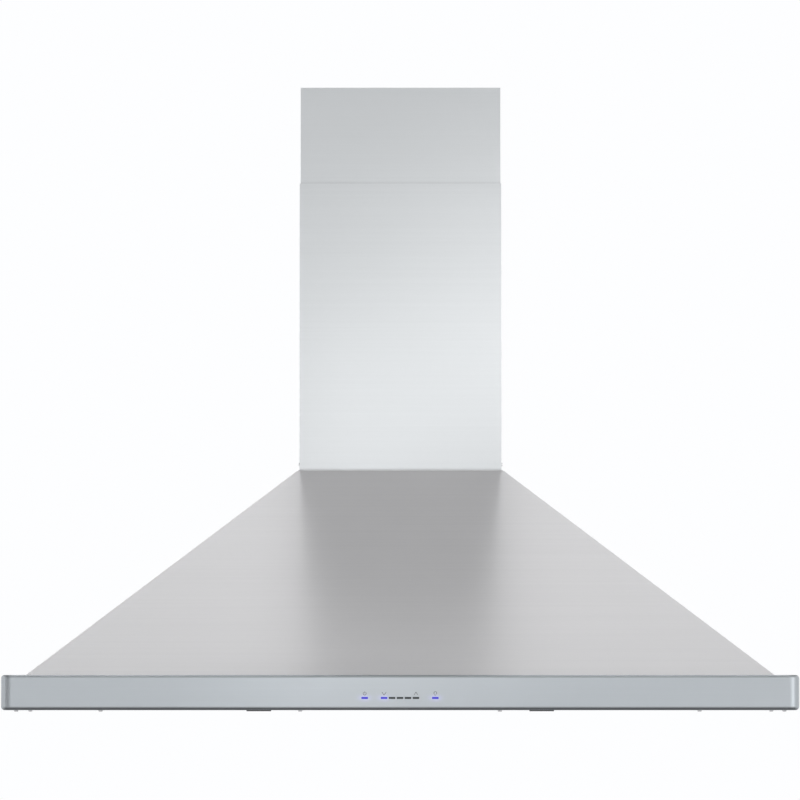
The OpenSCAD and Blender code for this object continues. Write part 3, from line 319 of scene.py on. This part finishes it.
def brushedSteel(name, own):
    v = {**steelValues, **own}
    colour = v["colour"]
    material, t, shader = newFinish(name, colour, v["roughness"], 1.0)
    lines = t.group(grain, Along=v["along"], Across=v["across"], Turn=v.get("turn", 0.0))
    marks = t.math("SUBTRACT", t.group(smudge, Scale=v["markScale"])["Patch"], 0.5)
    edge = t.group(edgeWearAndHighlight, Width=v["edgeWidth"])["Edge"]
    streak = t.range(lines["Tone"], *v["grainRange"], -1.0)
    fine = t.range(lines["Fine"], *v["grainRange"], -1.0)
    tone = t.math("MULTIPLY_ADD", streak, v["streak"], 0.5)
    tone = t.math("MULTIPLY_ADD", fine, v["fine"], tone)
    tone = t.math("MULTIPLY_ADD", marks, v["cloud"], tone, clamp=True)
    darkest, palest = v["tones"]
    body = t.mixColour(tone, shade(colour, darkest), shade(colour, palest))
    # Paler edges: wear, and on the canopy a painted highlight
    body = t.mixColour(t.math("MULTIPLY", edge, v["edgeShare"]), body, shade(colour, v["edgeTone"]))
    # Painted shade: the rim's bottom, top and corner bends, and its ledge, darkened by how their normal leans
    if "paintedShadeBends" in v:
        side, _, up = t.xyz(t.node("ShaderNodeNewGeometry").outputs["Normal"])
        leans = {"side": t.math("ABSOLUTE", side), "up": up}
        for shadeBend in v["paintedShadeBends"]:
            lean = leans[shadeBend["towards"]]
            paintedShadeMask = t.math("MULTIPLY", t.range(lean, *shadeBend["fadeIn"]),
                          t.range(lean, *shadeBend["fadeOut"], shadeBend["keeps"]))
            body = t.mixColour(paintedShadeMask, body, shade(colour, shadeBend["tone"]))
    # Painted shadow in joints and creases: ambient occlusion darkens the base colour
    paintedJointShadow = t.node("ShaderNodeAmbientOcclusion", samples=4)
    paintedJointShadow.inputs["Distance"].default_value = v["paintedShadeReach"]
    shadow = t.range(paintedJointShadow.outputs["AO"], *v["paintedShadeRange"], 0.0, v["paintedShadeShare"])
    body = t.mixColour(shadow, body, shade(colour, v["paintedShadeTone"]))
    t.put(body, shader.inputs["Base Color"])
    rough = t.math("MULTIPLY_ADD", fine, v["fineRoughness"], v["roughness"])
    t.put(t.math("MULTIPLY_ADD", marks, v["markRoughness"], rough), shader.inputs["Roughness"])
    shader.inputs["Anisotropic"].default_value = v["spread"]
    t.put(t.combine(*v["acrossGrain"]), shader.inputs["Tangent"])
    addBump(t, shader, lines["Fine"], v["bump"], v["bumpDepth"])
    return material, t, shader


# Galvanised sheet of what is out of sight
galvanisedValues = {
    "roughness": (0.34, 0.52),
    "tones": (0.82, 1.12),
    "markScale": 9.0,
    "markShare": 0.5,
    "edgeWidth": 0.001,
    "edgeShare": 0.6,
    "edgeTone": 1.3,
    "bump": 0.08,
}


def galvanised(name, colour, scale):
    v = galvanisedValues
    material, t, shader = newFinish(name, colour, sum(v["roughness"]) / 2, 1.0)
    tone = t.group(spangle, Scale=scale)["Tone"]
    marks = t.group(smudge, Scale=v["markScale"])["Patch"]
    edge = t.group(edgeWearAndHighlight, Width=v["edgeWidth"])["Edge"]
    mixed = t.math("MULTIPLY_ADD", t.math("SUBTRACT", marks, 0.5), v["markShare"], tone, clamp=True)
    darkest, palest = v["tones"]
    body = t.mixColour(mixed, shade(colour, darkest), shade(colour, palest))
    body = t.mixColour(t.math("MULTIPLY", edge, v["edgeShare"]), body, shade(colour, v["edgeTone"]))
    t.put(body, shader.inputs["Base Color"])
    t.put(t.range(mixed, 0.0, 1.0, *v["roughness"]), shader.inputs["Roughness"])
    addBump(t, shader, tone, v["bump"])
    return material


# Turned, cast or plated metal
plainMetalValues = {
    "tones": (0.85, 1.1),
    "markScale": 14.0,
    "markRange": (0.25, 0.75),
    "roughness": (0.8, 1.25),       # of the finish's own
    "edgeWidth": 0.0008,
    "edgeShare": 0.7,
    "edgeTone": 1.3,
}


def plainMetal(name, colour, roughness, poreScale, bump):
    v = plainMetalValues
    material, t, shader = newFinish(name, colour, roughness, 1.0)
    marks = t.group(smudge, Scale=v["markScale"])["Patch"]
    edge = t.group(edgeWearAndHighlight, Width=v["edgeWidth"])["Edge"]
    darkest, palest = v["tones"]
    body = t.mixColour(marks, shade(colour, darkest), shade(colour, palest))
    body = t.mixColour(t.math("MULTIPLY", edge, v["edgeShare"]), body, shade(colour, v["edgeTone"]))
    t.put(body, shader.inputs["Base Color"])
    glossy, dull = v["roughness"]
    t.put(t.range(marks, *v["markRange"], roughness * glossy, roughness * dull), shader.inputs["Roughness"])
    addBump(t, shader, t.group(pores, Scale=poreScale)["Height"], bump)
    return material


# Plastic, rubber and paint: fine pores, paler rubbed edges, dull patches
mouldedValues = {
    "tones": (0.86, 1.1),
    "markScale": 20.0,
    "markRange": (0.25, 0.75),
    "roughness": (0.85, 1.15),      # of the finish's own
    "edgeWidth": 0.0009,
    "edgeShare": 0.5,
    "rubbedShare": 0.75,            # a rubbed edge's colour is this much of the finish's own
    "rubbedPale": 0.06,             # plus this much white
    "rubbedTone": 1.35,
}


def moulded(name, colour, roughness, poreScale, bump, coat=0.0):
    v = mouldedValues
    material, t, shader = newFinish(name, colour, roughness)
    marks = t.group(smudge, Scale=v["markScale"])["Patch"]
    edge = t.group(edgeWearAndHighlight, Width=v["edgeWidth"])["Edge"]
    darkest, palest = v["tones"]
    body = t.mixColour(marks, shade(colour, darkest), shade(colour, palest))
    rubbed = tuple(v["rubbedShare"] * c + v["rubbedPale"] for c in colour)
    body = t.mixColour(t.math("MULTIPLY", edge, v["edgeShare"]), body, shade(rubbed, v["rubbedTone"]))
    t.put(body, shader.inputs["Base Color"])
    glossy, dull = v["roughness"]
    t.put(t.range(marks, *v["markRange"], roughness * glossy, roughness * dull), shader.inputs["Roughness"])
    shader.inputs["Coat Weight"].default_value = coat
    addBump(t, shader, t.group(pores, Scale=poreScale)["Height"], bump)
    return material


# The soft violet spill of the lit bars on the rim's face, painted as a glow in the rim's steel
spillValues = {
    "halfWidth": 0.0085,
    "halfHeight": 0.0042,
    "colour": (0.10, 0.09, 0.28, 1.0),
    "faceDepth": 0.0008,     # behind the rim's face, nothing is lit
    "barWidth": 0.0098,
    "barPitch": 0.0121,
}


# Each bar's spill falls off as e to the minus squared distance, counted in half widths and heights
def rimSteel(name, own, v):
    guideLow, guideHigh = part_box("lit_light_guides")
    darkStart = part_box("dark_light_guides")[0][0]
    half = v["barWidth"] / 2
    barZ = (guideLow[2] + guideHigh[2]) / 2
    material, t, shader = brushedSteel(name, own)
    x, y, z = t.xyz(t.place())
    spill = 0.0
    for barX in (guideLow[0] + half, darkStart - v["barPitch"] + half, guideHigh[0] - half):
        dx = t.math("MULTIPLY", t.math("SUBTRACT", x, barX), 1 / v["halfWidth"])
        dz = t.math("MULTIPLY", t.math("SUBTRACT", z, barZ), 1 / v["halfHeight"])
        far = t.math("ADD", t.math("MULTIPLY", dx, dx), t.math("MULTIPLY", dz, dz))
        spill = t.math("ADD", spill, t.math("EXPONENT", t.math("MULTIPLY", far, -1.0)))
    front = t.math("LESS_THAN", y, rimFace + v["faceDepth"])
    spill = t.math("MULTIPLY", spill, front, clamp=True)
    t.put(t.mixColour(spill, (0.0, 0.0, 0.0, 1.0), v["colour"]), shader.inputs["Emission Color"])
    shader.inputs["Emission Strength"].default_value = 1.0
    return material


# A lit window: colour with a slightly brighter middle
litWindowValues = {
    "roughness": 0.35,
    "glow": (0.85, 1.15),
    "tones": (0.7, 1.0),
    "poreScale": 500.0,
    "bump": 0.05,
}


def litWindow(name, colour, strength, scale):
    v = litWindowValues
    material, t, shader = newFinish(name, colour, v["roughness"])
    marks = t.group(smudge, Scale=scale)["Patch"]
    for label, (darkest, palest) in (("Emission Color", v["glow"]), ("Base Color", v["tones"])):
        t.put(t.mixColour(marks, shade(colour, darkest), shade(colour, palest)), shader.inputs[label])
    shader.inputs["Emission Strength"].default_value = strength
    addBump(t, shader, t.group(pores, Scale=v["poreScale"])["Height"], v["bump"])
    return material


# Circuit board: solder mask over a net of tracks
boardValues = {
    "colour": (0.02, 0.16, 0.07),
    "roughness": (0.25, 0.4),
    "tones": (0.8, 1.7),
    "trackScale": 260.0,
    "trackWidth": 0.03,
    "markScale": 30.0,
    "markRange": (0.3, 0.7),
    "bump": 0.2,
}


def boardFinish(name, v):
    material, t, shader = newFinish(name, v["colour"], sum(v["roughness"]) / 2)
    tracks = t.node("ShaderNodeTexBrick")
    t.put(t.place(), tracks.inputs["Vector"])
    tracks.inputs["Scale"].default_value = v["trackScale"]
    tracks.inputs["Mortar Size"].default_value = v["trackWidth"]
    darkest, palest = v["tones"]
    body = t.mixColour(tracks.outputs["Fac"], shade(v["colour"], darkest), shade(v["colour"], palest))
    t.put(body, shader.inputs["Base Color"])
    marks = t.group(smudge, Scale=v["markScale"])["Patch"]
    t.put(t.range(marks, *v["markRange"], *v["roughness"]), shader.inputs["Roughness"])
    addBump(t, shader, tracks.outputs["Fac"], v["bump"])
    return material


# By the record's material slots. The numbers after a colour are the scale of the spangle on galvanised
# sheet, roughness, scale of the pores, bump and clear coat on metals and mouldings, and the strength
# and the scale of the patches in a lit window
finishes = {
    "canopy_steel": brushedSteel("canopySteel", steels["canopy_steel"])[0],
    "duct_steel": brushedSteel("ductSteel", steels["duct_steel"])[0],
    "baffle_steel": brushedSteel("baffleSteel", steels["baffle_steel"])[0],
    "rim_steel": rimSteel("rimSteel", steels["rim_steel"], spillValues),
    "galvanised_steel": galvanised("galvanisedSteel", (0.56, 0.58, 0.60), 140.0),
    "wheel_steel": galvanised("wheelSteel", (0.50, 0.52, 0.54), 260.0),
    "motor_paint": moulded("motorPaint", (0.035, 0.036, 0.04), 0.42, 600.0, 0.2, 0.2),
    "shaft_steel": plainMetal("shaftSteel", (0.70, 0.70, 0.71), 0.18, 1500.0, 0.05),
    "bearing_bronze": plainMetal("bearingBronze", (0.62, 0.42, 0.20), 0.38, 1800.0, 0.2),
    "bezel_chrome": plainMetal("bezelChrome", (0.74, 0.74, 0.75), 0.16, 900.0, 0.03),
    "lamp_body": plainMetal("castAluminium", (0.42, 0.43, 0.45), 0.5, 700.0, 0.4),
    "screw_steel": plainMetal("screwSteel", (0.66, 0.66, 0.67), 0.25, 1200.0, 0.08),
    "latch_plastic": moulded("latchPlastic", (0.030, 0.030, 0.033), 0.5, 1300.0, 0.3),
    "control_plastic": moulded("controlPlastic", (0.035, 0.035, 0.038), 0.55, 1200.0, 0.3),
    "pad_rubber": moulded("padRubber", (0.05, 0.05, 0.05), 0.75, 1500.0, 0.4),
    "bushing_rubber": moulded("bushingRubber", (0.02, 0.02, 0.021), 0.7, 1500.0, 0.4),
    "terminal_plastic": moulded("terminalPlastic", (0.72, 0.69, 0.58), 0.4, 900.0, 0.15),
    "driver_plastic": moulded("driverPlastic", (0.75, 0.75, 0.73), 0.45, 900.0, 0.2),
    "capacitor_plastic": moulded("capacitorPlastic", (0.78, 0.78, 0.75), 0.38, 900.0, 0.12),
    "dark_guide": moulded("darkGuide", (0.020, 0.028, 0.032), 0.2, 600.0, 0.05, 0.5),
    "board_green": boardFinish("boardGreen", boardValues),
    "lit_guide": litWindow("litGuide", (0.035, 0.028, 0.42), 0.9, 60.0),
    "lamp_lens": litWindow("lampLens", (0.95, 0.90, 0.80), 0.8, 30.0),
}

for subpart in frame["record"]["subparts"]:
    piece = nodes[subpart["node"]]
    finish = finishes[subpart["material_slot"]]
    if not piece.material_slots:
        piece.data.materials.append(finish)
    for place in piece.material_slots:
        place.material = finish
print("finishes set:", len(finishes))


# Key symbols printed on the rim's face: flat strips along a path, a hair's breadth proud.
# Arcs and lines are measured from the middle of the symbol, in metres
symbolValues = {
    "height": 0.0253,          # of the symbols' middle above the rim's bottom edge
    "stroke": 0.0007,
    "proud": 0.00003,
    "sharpest": 0.4,           # how much a mitre may lengthen the strip's reach, as its inverse
    "ink": (0.11, 0.115, 0.12),
    "inkFinish": (0.6, 1500.0, 0.05),      # roughness, scale of the pores, bump
}
keySymbols = {
    "power_symbol": {"x": -0.0537, "arc": {"rise": 0.0, "radius": 0.0023, "fromTo": (125, 415)},
                     "line": [(0.0, 0.0003), (0.0, 0.0031)]},
    "slower_symbol": {"x": -0.0242, "line": [(-0.0033, 0.0022), (0.0, -0.0023), (0.0033, 0.0022)]},
    "faster_symbol": {"x": 0.0242, "line": [(-0.0027, -0.0021), (0.0, 0.0023), (0.0027, -0.0021)]},
    "lamp_symbol": {"x": 0.0537, "arc": {"rise": 0.0007, "radius": 0.0022, "fromTo": (-55, 235)},
                    "line": [(-0.0013, -0.0023), (0.0013, -0.0023)]},
}


# Each path is a row of (x, z) points. The strip's two edges lie half a stroke either side of it,
# along the mitred normal at each point, and the faces join neighbouring points
def stripMesh(name, paths, v):
    points, faces, start = [], [], 0
    y = rimFace - v["proud"]
    for p in paths:
        before = np.vstack([2 * p[0] - p[1], p[:-1]])
        after = np.vstack([p[1:], 2 * p[-1] - p[-2]])
        a = (p - before) / np.linalg.norm(p - before, axis=1)[:, None]
        b = (after - p) / np.linalg.norm(after - p, axis=1)[:, None]
        tangent = a + b
        tangent /= np.linalg.norm(tangent, axis=1)[:, None]
        normal = np.column_stack([-tangent[:, 1], tangent[:, 0]])
        lean = (normal * np.column_stack([-a[:, 1], a[:, 0]])).sum(axis=1)
        reach = v["stroke"] / 2 / np.maximum(v["sharpest"], lean)
        left, right = p + normal * reach[:, None], p - normal * reach[:, None]
        ring = np.empty((2 * len(p), 3))
        ring[0::2] = np.column_stack([left[:, 0], np.full(len(p), y), left[:, 1]])
        ring[1::2] = np.column_stack([right[:, 0], np.full(len(p), y), right[:, 1]])
        points.append(ring)
        first = start + 2 * np.arange(len(p) - 1)
        faces.append(np.column_stack([first, first + 2, first + 3, first + 1]))
        start += 2 * len(p)
    mesh = bpy.data.meshes.new(name)
    mesh.from_pydata(np.vstack(points).tolist(), [], np.vstack(faces).tolist())
    mesh.update()
    made = bpy.data.objects.new(name, mesh)
    bpy.context.collection.objects.link(made)
    return made


# Points on a circle about (x, z), at even angles
def arc(x, z, radius, fromDegrees, toDegrees, count=24):
    angle = np.radians(np.linspace(fromDegrees, toDegrees, count))
    return np.column_stack([x + radius * np.cos(angle), z + radius * np.sin(angle)])


def printSymbols(symbols, v):
    ink = moulded("symbolInk", v["ink"], *v["inkFinish"])
    z = rimBottom + v["height"]
    for name, symbol in symbols.items():
        x, paths = symbol["x"], []
        if "arc" in symbol:
            bow = symbol["arc"]
            paths.append(arc(x, z + bow["rise"], bow["radius"], *bow["fromTo"]))
        paths.append(np.array(symbol["line"]) + (x, z))
        made = stripMesh(name, paths, v)
        made.data.materials.append(ink)
        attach(made, "hood")


printSymbols(keySymbols, symbolValues)
print("symbols printed:", len(keySymbols))


# Studio: a pale floor in a white room, darker in front and above, with a long soft box in it.
# A direction's y is how far it looks behind the hood, and its z how far up
studioValues = {
    "floorBelow": 0.75,      # under the rim's bottom edge
    "floorSize": 24.0,
    "floorTone": 0.74,
    "floorRoughness": 0.7,
    "floorMarks": (0.98, 1.02),       # its darkest and palest patches
    "floorMarkScale": 1.5,
    "fadeFrom": 3.0,         # metres from the hood where the floor starts to fade into the room
    "roomColour": (0.985, 0.99, 1.0, 1.0),
    "roomLevel": 1.0,        # the room's light from the sides and behind, at eye height
    "roomFront": 0.47,       # from in front and above
    "roomOverhead": 1.0,     # from above and behind
    "overheadY": (-0.02, 0.16),       # where front turns to overhead
    "beltStart": 0.25,                # z where the light at eye height starts to fade
    "beltEnd": (0.80, 0.45),          # z where it has gone, in front and behind
    "stripLevel": 6.6,                # the long soft box, above and behind the hood
    "stripX": (0.10, 0.22),           # its soft sides
    "stripNear": (0.13, 0.27),        # its soft ends, as y
    "stripFar": (0.42, 0.56),
    "cards": [(-1.25, -0.30, -0.70), (0.45, 1.05, 0.75)],   # a dark one at left, a pale one at right
    "cardEdge": 0.1,                  # radians, as are the first two numbers of a card
    "cardTop": (0.5, 0.8),            # z of its soft top
}
softBoxes = {
    "lowBox": {"place": (0.22, -1.9, -0.55), "aim": (0.05, -0.29, 0.39), "size": (0.9, 0.3), "power": 0.18,
               "spread": 22.0, "turn": 18.0},
}


def makeFloor(v):
    half = v["floorSize"] / 2
    z = rimBottom - v["floorBelow"]
    mesh = bpy.data.meshes.new("floor")
    corners = [(-half, -half, z), (half, -half, z), (half, half, z), (-half, half, z)]
    mesh.from_pydata(corners, [], [(0, 1, 2, 3)])
    floor = bpy.data.objects.new("floor", mesh)
    bpy.context.collection.objects.link(floor)
    tone = (v["floorTone"],) * 3
    material, t, shader = newFinish("paleFloor", tone, v["floorRoughness"])
    marks = t.group(smudge, Scale=v["floorMarkScale"])["Patch"]
    darkest, palest = v["floorMarks"]
    t.put(t.mixColour(marks, shade(tone, darkest), shade(tone, palest)), shader.inputs["Base Color"])
    clear = t.node("ShaderNodeMixShader")    # seen through from below, and fading out far from the hood
    x, y, _ = t.xyz(t.place())
    away = t.vector("LENGTH", t.combine(x, y, 0.0))
    faded = t.range(away, v["fadeFrom"], half, smooth=True)
    below = t.node("ShaderNodeNewGeometry").outputs["Backfacing"]
    t.put(t.math("MAXIMUM", below, faded), clear.inputs[0])
    t.put(shader.outputs[0], clear.inputs[1])
    t.put(t.node("ShaderNodeBsdfTransparent").outputs[0], clear.inputs[2])
    t.put(clear.outputs[0], material.node_tree.nodes["Material Output"].inputs["Surface"])
    floor.data.materials.append(material)


def addSoftBox(name, v):
    data = bpy.data.lights.new(name, "AREA")
    data.shape = "RECTANGLE"
    data.size, data.size_y = v["size"]
    data.energy = v["power"]
    data.spread = radians(v["spread"])
    lamp = bpy.data.objects.new(name, data)
    lamp.location = v["place"]
    direction = Vector(v["aim"]) - Vector(v["place"])
    turned = direction.to_track_quat("-Z", "Y") @ Quaternion((0.0, 0.0, 1.0), radians(v["turn"]))
    lamp.rotation_euler = turned.to_euler()
    lamp.visible_camera = False
    bpy.context.collection.objects.link(lamp)


def makeRoom(v):
    world = bpy.data.worlds.new("studio")
    bpy.context.scene.world = world
    world.use_nodes = True
    t = Tree(world.node_tree)
    background = world.node_tree.nodes["Background"]
    x, y, z = t.xyz(t.node("ShaderNodeTexCoord").outputs["Generated"])

    def rise(value, ends):
        return t.range(value, *ends, 0.0, 1.0, smooth=True)

    def fall(value, ends):
        return t.range(value, *ends, 1.0, 0.0, smooth=True)

    level = t.range(y, *v["overheadY"], v["roomFront"], v["roomOverhead"], smooth=True)
    beltEnd = t.range(y, *v["overheadY"], *v["beltEnd"], smooth=True)
    belt = fall(z, (v["beltStart"], beltEnd))
    level = t.math("MULTIPLY_ADD", t.math("SUBTRACT", v["roomLevel"], level), belt, level)
    strip = t.math("MULTIPLY", fall(t.math("ABSOLUTE", x), v["stripX"]), rise(y, v["stripNear"]))
    strip = t.math("MULTIPLY", strip, fall(y, v["stripFar"]))
    strip = t.math("MULTIPLY", strip, t.math("GREATER_THAN", z, 0.0))
    level = t.math("MULTIPLY_ADD", strip, v["stripLevel"], level)
    around = t.math("ARCTAN2", x, t.math("MULTIPLY", y, -1.0))
    soft = v["cardEdge"]
    for start, end, change in v["cards"]:
        card = t.math("MULTIPLY", rise(around, (start - soft, start + soft)),
                      fall(around, (end - soft, end + soft)))
        card = t.math("MULTIPLY", card, fall(z, v["cardTop"]))
        level = t.math("MULTIPLY_ADD", card, change, level)
    t.put(level, background.inputs["Strength"])
    background.inputs["Color"].default_value = v["roomColour"]


makeFloor(studioValues)
makeRoom(studioValues)
for name, values in softBoxes.items():
    addSoftBox(name, values)
print("studio set")
